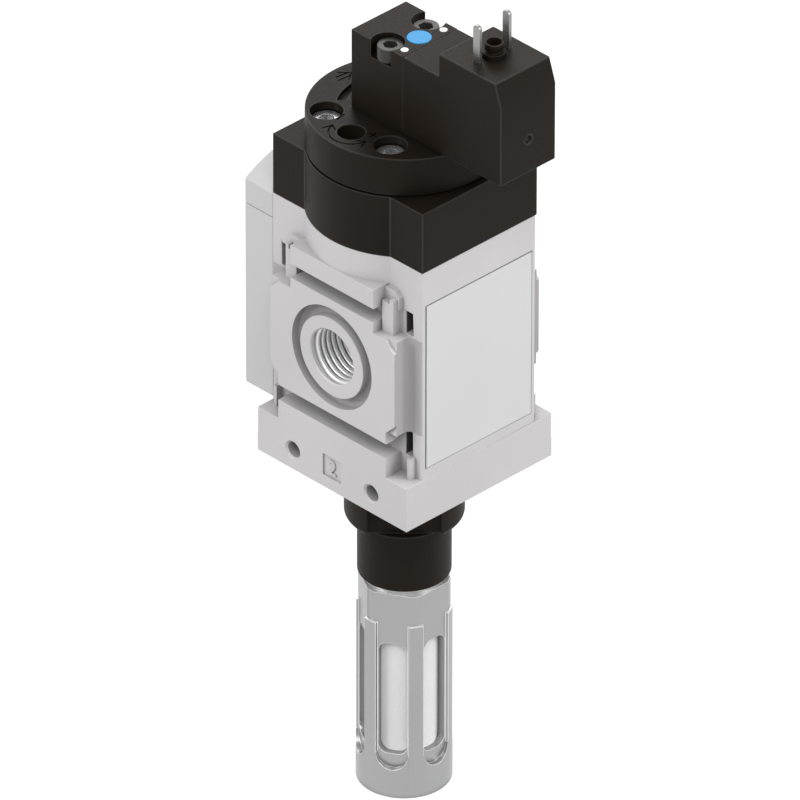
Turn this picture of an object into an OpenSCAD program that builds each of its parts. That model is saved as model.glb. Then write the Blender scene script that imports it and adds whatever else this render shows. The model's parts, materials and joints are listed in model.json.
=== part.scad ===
// Pneumatic 3/2-way solenoid valve module with a pilot valve on top and an exhaust silencer below.
// The origin is the centre of the mouth of port 2. X runs into the valve, Z is up, the front looks to -Y.
// All sizes are in millimetres.

/* [Module] */
// distance between the two port faces
module_w = 40; // [39.5:0.5:42]
// depth of the flange, front to back
module_d = 42; // [42:0.5:44]
// width of the body between the port plates
body_w = 31.4; // [31:0.1:32]
// height of the port axis above the underside of the flange
port_h = 31.3; // [31:0.1:32]
// height of the flange
flange_h = 10.1; // [9.8:0.1:10.4]
// height of the cap joint above the port axis
cap_joint_h = 26.8; // [26.6:0.1:28]
// how far the round bulge of the body and the cap stays inside the port faces
bulge_inset = 0.25; // [0.25:0.05:0.6]

/* [Port face] */
// wall radius of the port thread
port_r = 6.58; // [6.4:0.02:6.7]
// depth of the port thread
port_depth = 10.5; // [10:0.1:10.6]
// inner radius of the ring groove
ring_in_r = 8.85; // [8.2:0.05:9]
// outer radius of the ring groove
ring_out_r = 11.2; // [11:0.1:12]
// depth of the ring groove
ring_depth = 2.4; // [1.2:0.1:2.6]
// half width of the port plate
plate_y = 17.4; // [17:0.1:17.6]
// half height of the wide part of the port plate
plate_wide_z = 10.9; // [10.6:0.1:11]
// height of the port plate above the port axis
plate_top_z = 13.2; // [12.8:0.1:13.4]
// depth of the port plate below the port axis
plate_low_z = 13.4; // [13:0.1:13.8]
// height of the clamp groove above the port plate
top_groove_h = 3.15; // [2.8:0.05:3.4]
// height of the clamp groove below the port plate
low_groove_h = 3.4; // [3:0.1:3.8]
// half length of the clamp rail
rail_y = 11.6; // [11.2:0.1:12]
// height of the rail top above the port axis
rail_top_z = 20.7; // [20.2:0.1:21]

/* [Covers] */
// half width of the front panel
panel_half_w = 14.4; // [13.5:0.1:14.8]
// lower edge of the front panel, below the port axis
panel_low = 18.8; // [17.5:0.1:19.4]
// upper edge of the front panel, above the port axis
panel_top = 18.7; // [17.5:0.1:22]
// thickness of the front panel
panel_t = 1; // [0.8:0.1:1.4]
// depth of the rear cover
rear_d = 7.9; // [7:0.1:9]
// height of the joint between the two rear covers
rear_joint_z = 20.94; // [19:0.1:22]
// wall of the rear covers
rear_wall = 2; // [1.5:0.1:2.5]
// radius of the arched top of the rear cover
arch_r = 29.6; // [28:0.1:32]

/* [Mechanism] */
// radius of the valve chambers
chamber_r = 7.6; // [7.3:0.1:7.9]
// radius of the valve seats
seat_r = 4.6; // [4.2:0.1:5]
// radius of the valve stem
stem_r = 2.5; // [2.2:0.1:2.8]
// radius of the poppets
poppet_r = 6; // [5.8:0.1:6.4]
// stroke of the piston
stroke = 3.5; // [3:0.1:4]
// radius of the piston bore
piston_bore_r = 11.2; // [11:0.1:11.3]
// height of the piston
piston_h = 6; // [5.5:0.1:6.4]
// radial gap of a running fit
run_gap = 0.05; // [0.03:0.01:0.08]
// gap between fixed pieces that sit in one another
seat_gap = 0.02; // [0.01:0.01:0.04]

/* [Cap and base] */
// height of the piston cap
cap_h = 13.74; // [13.6:0.02:15]
// how far the pilot base stays inside the round bulge
base_inset = 0.15; // [0.1:0.05:0.6]
// height of the pilot base
base_h = 8.66; // [8.4:0.02:10]
// distance of the cap screws from the axis, along X
screw_x = 11.9; // [11.9:0.05:12.2]
// half spacing of the cap screws, along Y
screw_y = 8.9; // [8.9:0.05:9.2]
// distance of the middle of the cap screws behind the axis
screw_mid_y = 0.8; // [0.4:0.1:0.8]
// radius of the cap screw wells
well_r = 3.3; // [3.2:0.05:3.5]
// radius of the adjusting hole
adjust_r = 2.78; // [2.6:0.02:2.9]
// stroke of the throttle needle
needle_stroke = 1.5; // [1.2:0.1:1.6]

/* [Pilot valve] */
// width of the pilot valve
pilot_w = 14.92; // [14.8:0.02:15.4]
// height of the pilot valve
pilot_h = 17.75; // [17.6:0.05:18.5]
// rear face of the pilot valve, behind the axis
pilot_rear_y = 7.36; // [7.2:0.02:8]
// distance of the joint with the coil in front of the axis
pilot_joint_y = 7.03; // [7:0.01:7.2]
// step of the coil housing in front of the axis
coil_step_y = 16.9; // [16:0.1:18]
// top edge of the slanted front of the coil housing
coil_edge_y = 32.5; // [32.4:0.1:33.4]
// front face of the coil housing
coil_front_y = 34.2; // [34:0.1:35.5]
// height of the raised part of the coil housing
coil_h = 22.78; // [22:0.02:24]
// radius of the winding space
coil_r = 6.2; // [6:0.05:6.4]
// stroke of the armature
armature_stroke = 0.8; // [0.6:0.05:0.9]
// radius of the hand override
override_r = 2.5; // [2.3:0.05:2.55]
// stroke of the hand override
override_stroke = 1.2; // [1:0.1:1.3]

/* [Plug] */
// spacing of the contact blades
blade_spacing = 8; // [7.6:0.1:8.4]
// thickness of a contact blade
blade_t = 0.8; // [0.6:0.05:1]
// width of a contact blade
blade_w = 1.8; // [1.6:0.1:2.4]
// length of a contact blade above the housing
blade_h = 8.3; // [7:0.1:9]
// distance of the contacts in front of the axis
blade_y = 24.2; // [23.8:0.1:24.6]
// wall radius of the plug screw thread
plug_r = 1.5; // [1.4:0.05:1.6]

/* [Exhaust] */
// radius of the adapter nut
nut_r = 12; // [11.8:0.02:12.3]
// height of the adapter nut
nut_h = 14; // [13.5:0.1:15]
// distance of the wrench notches of the nut from the axis
notch_x = 7.7; // [7.6:0.05:8.4]
// half width of the wrench notches
notch_half_w = 7.5; // [7:0.1:8]
// radius of the adapter sleeve
sleeve_r = 9.4; // [9.2:0.02:9.5]
// height of the adapter sleeve
sleeve_h = 12.8; // [12:0.1:14]
// radius of the threaded exhaust port
exhaust_r = 8.33; // [8.1:0.01:8.5]
// width across the flats of the silencer
silencer_af = 17; // [16.6:0.1:17.4]
// radius of the silencer cage
cage_r = 9.66; // [9.5:0.02:9.8]
// length of the silencer below the adapter
cage_h = 48.97; // [48:0.01:51]
// width of a cage rib
rib_w = 3.1; // [2.8:0.1:3.4]
// width of a cage window
window_w = 5.9; // [5:0.1:6]
// outer radius of the silencer element
element_r = 7.1; // [6.9:0.05:7.3]

/* [Hidden] */
$fn = 96;
eps = 0.01;
bury = 0.7;

// outer heights and half widths
half_w = module_w / 2;
half_d = module_d / 2;
half_b = body_w / 2;
body_front = half_d - 0.2;
bulge_r = half_w - bulge_inset;
base_r = bulge_r - base_inset;
flange_z = -port_h;
body_z = flange_z + flange_h;
cap_z = cap_joint_h;
base_z = cap_z + cap_h;
pilot_z = base_z + base_h;
pilot_top = pilot_z + pilot_h;
coil_top = pilot_z + coil_h;
nut_z = flange_z - nut_h;
sleeve_z = nut_z - sleeve_h;
cage_z = sleeve_z - cage_h;

// port face
plate_proud = half_w - half_b;
notch_y = 15.1;
plate_chamfer = 2.5;
chamfer_deep = 0.8;
cove_r = 3.6;
cove_lip = 0.7;
pillar_proud = 2.3;
pillar_y = 12;
pillar_top_z = 17.9;
horn_y = 14.2;
lug_y = 15.6;
lug_proud = 1.1;
lug_top_z = rail_top_z - 0.3;
slot_y0 = 16.4;
slot_y1 = 18.4;
slot_deep = 6;
flange_hole_y = 11.04;
flange_hole_z = flange_z + 4.46;
flange_hole_r = 1.72;
flange_hole_deep = 8;
badge_w = 5.1;
badge_z0 = flange_z + 2.85;
badge_z1 = flange_z + 7.8;
badge_deep = 0.4;

// mechanism heights, from the port axis
supply_seat_z = 1;
seat_t = 2.5;
output_z = supply_seat_z - seat_t - 7;
exhaust_seat_z = output_z - 1.5;
passage_r = 2.9;
guide_z = 12;
guide_h = 8;
guide_r = 8.6;
bore_floor_z = guide_z + guide_h;
piston_z = bore_floor_z + 0.6;
piston_top = piston_z + piston_h;
cap_roof_z = cap_z + 10.7;
supply_poppet_h = 3;
exhaust_poppet_h = 3;
exhaust_poppet_top = exhaust_seat_z - stroke;
stem_low_z = exhaust_poppet_top - exhaust_poppet_h - 1;
spring_mid_r = 6.6;
spring_wire_r = 0.6;
gasket_in_r = piston_bore_r + 0.3;
gasket_out_r = gasket_in_r + 0.6;
gasket_t = 1;

// screws of the cap
cap_screw_r = 2;
cap_head_r = 3;
cap_head_h = 3.5;
cap_head_z = base_z + 3.3;
cap_screw_end = cap_z - 13;
clear_gap = 0.2;

// throttle
adjust_x = -base_r + 5.6;
adjust_y = 0.6;
collar_r = adjust_r + 0.32;
collar_h = 3;
needle_w = 2.8;
needle_h = 5.4;
needle_top = base_z - needle_stroke - 0.14;
thread_stem_r = 0.9;
thread_stem_h = 3.5;
channel_r = 0.8;

// pilot valve
half_p = pilot_w / 2;
pilot_screw_x = 4.85;
pilot_screw_y = -0.87;
pilot_screw_r = 1.5;
pilot_head_r = 2.7;
pilot_head_h = 3;
pilot_pocket_x = 5.54;
pilot_pocket_r = 3.36;
pilot_pocket_z = pilot_top - 3.95;
pilot_screw_end = base_z + 1.4;
override_y = -3.95;
override_skirt_z = pilot_top - 5;
override_spring_z = override_skirt_z - 3.2;
override_stem_r = 1.2;
override_end_z = override_spring_z - 1;
marker_x = 5.3;
marker_y = -5.3;
marker_r = 0.8;
axis_z = pilot_z + 8.9;
nozzle_r = 1.2;
nozzle_y = pilot_joint_y + 0.97;
armature_r = 2.85;
armature_front_y = nozzle_y + 0.2;
core_y = 20;
armature_rear_y = core_y - armature_stroke;
bobbin_y0 = 9.5;
bobbin_y1 = 30.5;
bobbin_flange = 1.2;
core_end_y = bobbin_y1 + 1;
pocket_r = 1.5;
small_wire_r = 0.2;
coil_low_z = pilot_z + 0.1;
front_knee_z = coil_top - 5.18;

// plug
post_y = 24.7;
post_r = 2.36;
post_top_r = 1.88;
post_top = coil_top + 3.1;
post_deep = 3;
blade_deep = 5;

// exhaust
spigot_h = 9;
spigot_bore_r = 5.5;
silencer_thread_r = 6.58;
silencer_thread_h = 9;
hex_top_z = sleeve_z - 1.4;
rib_top_z = sleeve_z - 8.4;
hex_corner = 9.25;
neck_r = 8.2;
window_top_z = sleeve_z - 13;
window_low_z = cage_z + 9.8;
window_corner_r = 2;
flat_end_z = cage_z + 9.9;
element_end_z = cage_z + 1.2;
element_top_z = sleeve_z - 5;
adapter_seal_r = 10.4;

module on_axis() {
    translate([half_w, 0, 0]) children();
}

module both_ports() {
    children();
    mirror([1, 0, 0]) children();
}

module front_and_rear() {
    children();
    mirror([0, 1, 0]) children();
}

module four_screws() {
    for (x = [-screw_x, screw_x], y = [-screw_y, screw_y]) translate([x, screw_mid_y + y, 0]) children();
}

// a flat shape of Y and Z, drawn out along X
module along_x(start, length) {
    translate([start, 0, 0]) rotate([90, 0, 90]) linear_extrude(length) children();
}

// a cylinder along the armature axis, y0 and y1 counted towards the front
module coil_cylinder(y0, y1, r) {
    translate([0, -y0, axis_z]) rotate([90, 0, 0]) cylinder(r = r, h = y1 - y0);
}

module tube(r_out, r_in, z0, z1) {
    translate([0, 0, z0]) difference() {
        cylinder(r = r_out, h = z1 - z0);
        translate([0, 0, -1]) cylinder(r = r_in, h = z1 - z0 + 2);
    }
}

module rod(r, z0, z1) {
    translate([0, 0, z0]) cylinder(r = r, h = z1 - z0);
}

// a coil spring with ground ends that stands on the plane z = 0
module spring(mid_r, wire_r, height, turns, around) {
    pitch = height / turns;
    linear_extrude(height, twist = -360 * turns, slices = 12 * turns, segments = around)
        polygon([for (i = [0:around - 1])
            let (a = i * 360 / around, turn = wire_r * sin(a) * 360 / pitch, r = mid_r + wire_r * cos(a))
            [r * cos(turn), r * sin(turn)]]);
}

// the clamp geometry on one port face
module port_plate_outline() {
    polygon([
        [notch_y, plate_wide_z], [rail_y, plate_wide_z], [rail_y, plate_top_z],
        [-rail_y, plate_top_z], [-rail_y, plate_wide_z], [-notch_y, plate_wide_z],
        [-notch_y, -plate_low_z], [notch_y, -plate_low_z]]);
}

module cove_outline() {
    difference() {
        polygon([
            [-half_w, notch_y - 2], [-half_w, plate_y], [-half_w + cove_lip, plate_y],
            [-half_w + cove_lip, body_front], [-half_b + bury, body_front], [-half_b + bury, notch_y - 2]]);
        translate([-half_w + cove_lip, plate_y + cove_r]) circle(cove_r);
    }
}

module plate_corner_cut() {
    along_x(-half_w - 1, chamfer_deep + 1) polygon([
        [plate_y - plate_chamfer, plate_wide_z + eps], [plate_y + 2, plate_wide_z - plate_chamfer - 2],
        [plate_y + 2, plate_wide_z + eps]]);
}

module port_flank() {
    difference() {
        translate([0, 0, -plate_wide_z]) linear_extrude(2 * plate_wide_z) cove_outline();
        plate_corner_cut();
        mirror([0, 0, 1]) plate_corner_cut();
    }
}

// the pillar beside the rail, its horn, and the lug behind them
module corner_post() {
    translate([-half_b - pillar_proud, pillar_y, plate_wide_z - bury])
        cube([pillar_proud + bury, notch_y - pillar_y, pillar_top_z - plate_wide_z + bury]);
    translate([-half_b - pillar_proud, horn_y, pillar_top_z - bury])
        cube([pillar_proud + bury, notch_y - horn_y, 1 + bury]);
    along_x(-half_b - lug_proud, lug_proud + bury) polygon([
        [rail_y - bury, slot_top()], [lug_y, slot_top()], [lug_y, lug_top_z - 1.2],
        [lug_y - 1.2, lug_top_z], [rail_y - bury, lug_top_z]]);
}

function slot_top() = plate_top_z + top_groove_h + 0.15;

module port_face() {
    along_x(-half_w, plate_proud + bury) port_plate_outline();
    front_and_rear() port_flank();
    front_and_rear() corner_post();
    translate([-half_w, -rail_y, plate_top_z + top_groove_h])
        cube([plate_proud + bury, 2 * rail_y, rail_top_z - plate_top_z - top_groove_h]);
    translate([-half_w, -notch_y, body_z - bury])
        cube([plate_proud + bury, 2 * notch_y, -plate_low_z - low_groove_h - body_z + bury]);
    front_and_rear() translate([-half_b - 1.6, slot_y1, body_z - bury]) cube([1.6 + bury, 0.8, 4.7 + bury]);
}

module port_cuts() {
    translate([-half_w - 1, 0, 0]) rotate([0, 90, 0]) cylinder(r = port_r, h = port_depth + 1);
    translate([-half_w - 1, 0, 0]) rotate([0, 90, 0]) difference() {
        cylinder(r = ring_out_r, h = ring_depth + 1);
        translate([0, 0, -1]) cylinder(r = ring_in_r, h = ring_depth + 3);
    }
    front_and_rear() {
        translate([-half_b - eps, slot_y0, plate_wide_z + 0.4])
            cube([slot_deep, slot_y1 - slot_y0, slot_top() - plate_wide_z - 0.4]);
        translate([-half_b - eps, slot_y0, -plate_low_z - low_groove_h])
            cube([slot_deep, slot_y1 - slot_y0, plate_low_z + low_groove_h - plate_wide_z - 0.1]);
        translate([-half_w - 1, flange_hole_y, flange_hole_z]) rotate([0, 90, 0])
            cylinder(r = flange_hole_r, h = flange_hole_deep + 1);
    }
    translate([-half_w - 1, -badge_w / 2, badge_z0]) cube([badge_deep + 1, badge_w, badge_z1 - badge_z0]);
}

module housing_bores() {
    rod(exhaust_r, flange_z - 1, body_z + 0.2);
    rod(chamber_r, body_z - 1, exhaust_seat_z);
    rod(seat_r, exhaust_seat_z - 1, guide_z + 1);
    rod(chamber_r, output_z, supply_seat_z - seat_t);
    rod(chamber_r, supply_seat_z, guide_z + 1);
    rod(guide_r, guide_z, bore_floor_z + 1);
    rod(piston_bore_r, bore_floor_z, cap_z + 1);
    // from port 2 to the output chamber, and from port 1 to the supply chamber
    translate([-half_w + port_depth - 1, 0, (output_z + supply_seat_z - seat_t) / 2 + 0.5])
        rotate([0, 90, 0]) cylinder(r = passage_r, h = half_w - port_depth);
    translate([1, 0, supply_seat_z + passage_r + 0.3])
        rotate([0, 90, 0]) cylinder(r = passage_r, h = half_w - port_depth);
    // pilot air to the underside of the piston
    translate([adjust_x, adjust_y, 0]) rod(channel_r, bore_floor_z - 0.8, cap_z + 1);
    translate([adjust_x, adjust_y, bore_floor_z + 0.5]) rotate([0, 90, 0]) cylinder(r = channel_r, h = 5);
    four_screws() rod(cap_screw_r + seat_gap, cap_screw_end - 1, cap_z + 1);
}

module housing() {
    color([0.82, 0.82, 0.81]) on_axis() difference() {
        union() {
            translate([-half_b, -body_front, body_z - 1]) cube([body_w, body_front + half_d, cap_z - body_z + 1]);
            translate([-half_w, -half_d, flange_z]) cube([module_w, module_d, flange_h]);
            both_ports() port_face();
            rod(bulge_r, rail_top_z, cap_z);
        }
        both_ports() port_cuts();
        housing_bores();
        translate([-panel_half_w - panel_gap(), -half_d, -panel_low - panel_gap()])
            cube([2 * (panel_half_w + panel_gap()), half_d - body_front + panel_t, panel_low + panel_top + 2 * panel_gap()]);
    }
}

function panel_gap() = 0.15;

module front_panel() {
    color([0.9, 0.9, 0.89]) on_axis() translate([-panel_half_w, -body_front - 0.1, -panel_low])
        cube([2 * panel_half_w, panel_t + 0.1, panel_low + panel_top]);
}

module rear_cover() {
    color([0.86, 0.86, 0.86]) on_axis() difference() {
        translate([-half_b, half_d, body_z + 0.4]) cube([body_w, rear_d, rear_joint_z - body_z - 0.4]);
        translate([-half_b + rear_wall, half_d - 1, body_z + 0.4 + rear_wall])
            cube([body_w - 2 * rear_wall, rear_d - rear_wall + 1, rear_joint_z - body_z - 0.4 - 2 * rear_wall]);
        bulge_room();
    }
}

// keeps the rear covers clear of the round bulge of a wider module
module bulge_room() {
    rod(bulge_r + seat_gap, rail_top_z - 0.1, base_z);
}

module rear_top_cover() {
    color([0.86, 0.86, 0.86]) on_axis() difference() {
        intersection() {
            translate([-half_b, half_d, rear_joint_z]) cube([body_w, rear_d, 20]);
            translate([0, half_d - 1, arch_z()]) rotate([-90, 0, 0]) cylinder(r = arch_r, h = rear_d + 2);
        }
        translate([-half_b + rear_wall, half_d - 1, rear_joint_z + rear_wall])
            cube([body_w - 2 * rear_wall, rear_d - rear_wall + 1, cap_z - rear_joint_z - rear_wall - 1]);
        bulge_room();
    }
}

// the arch meets the sides just below the cap joint
function arch_z() = cap_z - 0.15 - sqrt(arch_r * arch_r - half_b * half_b);

module stem_guide() {
    color([0.72, 0.6, 0.32]) on_axis() difference() {
        rod(guide_r - seat_gap, guide_z, bore_floor_z);
        rod(stem_r + run_gap, guide_z - 1, bore_floor_z + 1);
        tube(stem_r + 1.6, stem_r, bore_floor_z - 2.4, bore_floor_z - 1.2);
    }
}

module main_piston() {
    color([0.2, 0.2, 0.21]) on_axis() difference() {
        rod(piston_bore_r - run_gap, piston_z, piston_top);
        tube(piston_bore_r + 1, piston_bore_r - 2, piston_z + 2, piston_z + 4);
        rod(stem_r + seat_gap, piston_z - 1, piston_top - 1.5);
        tube(spring_mid_r + 1.4, spring_mid_r - 1.4, piston_top - 1, piston_top + 1);
    }
}

module piston_seal() {
    color([0.1, 0.1, 0.1]) on_axis()
        tube(piston_bore_r - run_gap, piston_bore_r - 2 + seat_gap, piston_z + 2, piston_z + 4);
}

module valve_stem() {
    color([0.75, 0.76, 0.78]) on_axis() rod(stem_r, stem_low_z, piston_top - 1.5);
}

module supply_poppet() {
    color([0.12, 0.12, 0.12]) on_axis()
        tube(poppet_r, stem_r + seat_gap, supply_seat_z, supply_seat_z + supply_poppet_h);
}

module exhaust_poppet() {
    color([0.12, 0.12, 0.12]) on_axis()
        tube(poppet_r, stem_r + seat_gap, exhaust_poppet_top - exhaust_poppet_h, exhaust_poppet_top);
}

module return_spring() {
    color([0.7, 0.71, 0.73]) on_axis() translate([0, 0, piston_top - 1])
        spring(spring_mid_r, spring_wire_r, cap_roof_z - piston_top + 1, 5, 20);
}

module piston_cap() {
    color([0.13, 0.13, 0.13]) on_axis() difference() {
        union() {
            translate([-half_b, -half_d, cap_z]) cube([body_w, module_d, cap_h]);
            rod(bulge_r, cap_z, base_z);
        }
        rod(piston_bore_r, cap_z - 1, cap_roof_z);
        rod(gasket_out_r + seat_gap, cap_z - 1, cap_z + gasket_t);
        four_screws() rod(cap_screw_r + clear_gap, cap_z - 1, base_z + 1);
        translate([adjust_x, adjust_y, 0]) rod(channel_r, cap_z - 1, base_z);
        translate([adjust_x, adjust_y, (needle_top - needle_h + base_z + 1) / 2])
            cube([needle_w + 2 * run_gap, needle_w + 2 * run_gap, base_z + 1 - needle_top + needle_h], center = true);
    }
}

module cap_gasket() {
    color([0.08, 0.08, 0.08]) on_axis() tube(gasket_out_r, gasket_in_r, cap_z, cap_z + gasket_t);
}

module pilot_base() {
    color([0.13, 0.13, 0.13]) on_axis() difference() {
        union() {
            rod(base_r - 0.4, base_z, pilot_z - 1);
            rod(base_r, base_z + 0.35, pilot_z);
        }
        four_screws() {
            rod(well_r, cap_head_z, pilot_z + 1);
            rod(cap_screw_r + clear_gap, base_z - 1, pilot_z);
        }
        translate([adjust_x, adjust_y, 0]) {
            rod(adjust_r, base_z, pilot_z + 1);
            rod(collar_r + run_gap, base_z - 1, base_z + collar_h + 0.1);
        }
        for (x = [-pilot_screw_x, pilot_screw_x]) translate([x, pilot_screw_y, 0])
            rod(pilot_screw_r + seat_gap, pilot_screw_end - 0.4, pilot_z + 1);
        // seal groove and pilot air channels
        tube(seal_mid_r() + 0.8, seal_mid_r() - 0.8, base_z - 1, base_z + 1);
        for (y = [1.5, 4]) translate([0, y, 0]) rod(channel_r, base_z - 1, pilot_z + 1);
        // curved slot behind the pilot valve
        translate([0, 0, pilot_z - 1]) rotate([0, 0, 92]) rotate_extrude(angle = 33)
            translate([11.7, 0]) square([1.8, 2]);
    }
}

function seal_mid_r() = 7.6;

module base_seal() {
    color([0.08, 0.08, 0.08]) on_axis()
        tube(seal_mid_r() + 0.8 - seat_gap, seal_mid_r() - 0.8 + seat_gap, base_z, base_z + 1);
}

module cap_screws() {
    color([0.75, 0.76, 0.78]) on_axis() four_screws() difference() {
        union() {
            rod(cap_head_r, cap_head_z, cap_head_z + cap_head_h);
            rod(cap_screw_r, cap_screw_end, cap_head_z + 1);
        }
        translate([0, 0, cap_head_z + cap_head_h - 2]) cylinder(r = 1.5 / cos(30), h = 3, $fn = 6);
    }
}

module adjusting_screw() {
    color([0.72, 0.6, 0.32]) on_axis() translate([adjust_x, adjust_y, 0]) difference() {
        union() {
            rod(collar_r, base_z, base_z + collar_h);
            rod(adjust_r - run_gap, base_z + collar_h - 0.5, base_z + collar_h + 1.4);
            rod(thread_stem_r, base_z - thread_stem_h, base_z + 1);
        }
        translate([-adjust_r, -0.35, base_z + collar_h + 0.4]) cube([2 * adjust_r, 0.7, 2]);
    }
}

module throttle_needle() {
    color([0.72, 0.6, 0.32]) on_axis() translate([adjust_x, adjust_y, 0]) difference() {
        union() {
            translate([-needle_w / 2, -needle_w / 2, needle_top - needle_h + 1.2])
                cube([needle_w, needle_w, needle_h - 1.2]);
            translate([0, 0, needle_top - needle_h - 0.45]) cylinder(r1 = 0.5, r2 = 1.3, h = 1.75);
        }
        rod(thread_stem_r + run_gap, needle_top - 3.9, needle_top + 1);
    }
}

module pilot_body() {
    color([0.13, 0.13, 0.13]) on_axis() difference() {
        union() {
            translate([-half_p, -pilot_joint_y, pilot_z]) cube([pilot_w, pilot_joint_y + pilot_rear_y, pilot_h]);
            coil_cylinder(pilot_joint_y - 1, nozzle_y, nozzle_r);
        }
        for (s = [-1, 1]) {
            translate([s * pilot_pocket_x, pilot_screw_y, 0]) rod(pilot_pocket_r, pilot_pocket_z, pilot_top + 1);
            translate([s * pilot_screw_x, pilot_screw_y, 0]) rod(pilot_screw_r + 0.1, pilot_z - 1, pilot_top);
            translate([s * marker_x, marker_y, 0]) rod(marker_r + seat_gap, pilot_top - 2, pilot_top + 1);
        }
        translate([0, override_y, 0]) {
            rod(override_r + run_gap, override_spring_z, pilot_top + 1);
            rod(override_stem_r + run_gap, axis_z - 2.4, override_spring_z + 1);
        }
        // nozzle and its channel down to the base
        coil_cylinder(-override_y, nozzle_y + 1, 0.5);
        for (y = [1.5, 4]) translate([0, y, 0]) rod(channel_r, pilot_z - 1, axis_z);
        translate([0, 4.5, axis_z - 1.2]) rotate([90, 0, 0]) cylinder(r = channel_r, h = 4.5 - override_y);
        translate([-gasket_half(), -5, pilot_z - 1]) cube([2 * gasket_half(), 11, 1.8]);
    }
}

function gasket_half() = 6.2;

module pilot_gasket() {
    color([0.08, 0.08, 0.08]) on_axis() difference() {
        translate([-gasket_half() + seat_gap, -5 + seat_gap, pilot_z])
            cube([2 * (gasket_half() - seat_gap), 11 - 2 * seat_gap, 0.8]);
        for (x = [-pilot_screw_x, pilot_screw_x]) translate([x, pilot_screw_y, 0])
            rod(pilot_screw_r + 0.3, pilot_z - 1, pilot_z + 2);
        for (y = [1.5, 4]) translate([0, y, 0]) rod(channel_r, pilot_z - 1, pilot_z + 2);
    }
}

module pilot_screws() {
    color([0.75, 0.76, 0.78]) on_axis() for (x = [-pilot_screw_x, pilot_screw_x])
        translate([x, pilot_screw_y, 0]) difference() {
            union() {
                rod(pilot_head_r - 0.05, pilot_pocket_z, pilot_pocket_z + pilot_head_h);
                rod(pilot_screw_r, pilot_screw_end, pilot_pocket_z + 1);
            }
            translate([0, 0, pilot_pocket_z + pilot_head_h - 1.5]) cylinder(r = 1.25 / cos(30), h = 3, $fn = 6);
        }
}

module marker_plugs() {
    color([0.95, 0.95, 0.95]) on_axis() for (x = [-marker_x, marker_x])
        translate([x, marker_y, 0]) rod(marker_r, pilot_top - 2, pilot_top);
}

module override_button() {
    color([0.25, 0.62, 0.9]) on_axis() translate([0, override_y, 0]) difference() {
        union() {
            rod(override_r, override_skirt_z, pilot_top);
            rod(override_stem_r, override_end_z, override_skirt_z + 1);
        }
        tube(override_r + 1, override_r - 0.6, pilot_top - 3.5, pilot_top - 2.5);
    }
}

module override_seal() {
    color([0.08, 0.08, 0.08]) on_axis() translate([0, override_y, 0])
        tube(override_r, override_r - 0.6 + seat_gap, pilot_top - 3.5, pilot_top - 2.5);
}

module override_spring() {
    color([0.7, 0.71, 0.73]) on_axis() translate([0, override_y, override_spring_z])
        spring(1.85, small_wire_r, override_skirt_z - override_spring_z, 3, 16);
}

module coil_housing() {
    color([0.13, 0.13, 0.13]) on_axis() difference() {
        translate([-half_p, 0, 0]) rotate([90, 0, 90]) linear_extrude(pilot_w) polygon([
            [-pilot_joint_y, coil_low_z], [-pilot_joint_y, pilot_top], [-coil_step_y, pilot_top],
            [-coil_step_y, coil_top], [-coil_edge_y, coil_top], [-coil_front_y, front_knee_z],
            [-coil_front_y, coil_low_z]]);
        coil_cylinder(pilot_joint_y - 1, bobbin_y0 + 1, 3.6);
        coil_cylinder(bobbin_y0, bobbin_y1, coil_r);
        coil_cylinder(bobbin_y1 - 1, core_end_y, armature_r + run_gap);
        // dimple in the front face
        translate([0.2, -coil_front_y - eps, pilot_z + 7.6]) rotate([-90, 0, 0]) cylinder(r1 = 1, r2 = 0.4, h = 0.8);
        for (x = [-1, 1]) translate([x * blade_spacing / 2, -blade_y, coil_top - blade_deep / 2 + 0.5])
            cube([blade_t + 2 * seat_gap, blade_w + 2 * seat_gap, blade_deep + 1], center = true);
        translate([0, -post_y, 0]) rod(post_r + seat_gap, coil_top - post_deep, coil_top + 1);
    }
}

module coil_bobbin() {
    color([0.85, 0.83, 0.78]) on_axis() difference() {
        union() {
            coil_cylinder(bobbin_y0, bobbin_y1, armature_r + run_gap + 0.7);
            coil_cylinder(bobbin_y0, bobbin_y0 + bobbin_flange, coil_r - seat_gap);
            coil_cylinder(bobbin_y1 - bobbin_flange, bobbin_y1, coil_r - seat_gap);
        }
        coil_cylinder(bobbin_y0 - 1, bobbin_y1 + 1, armature_r + run_gap);
    }
}

module coil_winding() {
    color([0.72, 0.4, 0.2]) on_axis() difference() {
        coil_cylinder(bobbin_y0 + bobbin_flange, bobbin_y1 - bobbin_flange, coil_r - 0.4);
        coil_cylinder(bobbin_y0, bobbin_y1, armature_r + run_gap + 0.7 + seat_gap);
    }
}

module fixed_core() {
    color([0.7, 0.71, 0.73]) on_axis() difference() {
        coil_cylinder(core_y, core_end_y, armature_r + run_gap - seat_gap);
        coil_cylinder(core_y - 1, core_y + 3.5, pocket_r + 0.1);
    }
}

module armature() {
    color([0.7, 0.71, 0.73]) on_axis() difference() {
        coil_cylinder(armature_front_y, armature_rear_y, armature_r);
        coil_cylinder(armature_front_y - 1, armature_front_y + 1, 1.8);
        coil_cylinder(armature_rear_y - 2.5, armature_rear_y + 1, pocket_r);
    }
}

module armature_seal() {
    color([0.08, 0.08, 0.08]) on_axis() coil_cylinder(nozzle_y, armature_front_y + 1, 1.8 - seat_gap);
}

module armature_spring() {
    color([0.7, 0.71, 0.73]) on_axis() translate([0, -armature_rear_y + 2.5, axis_z]) rotate([90, 0, 0])
        spring(1.15, small_wire_r, 2.5 + 2.6, 4, 16);
}

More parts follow.
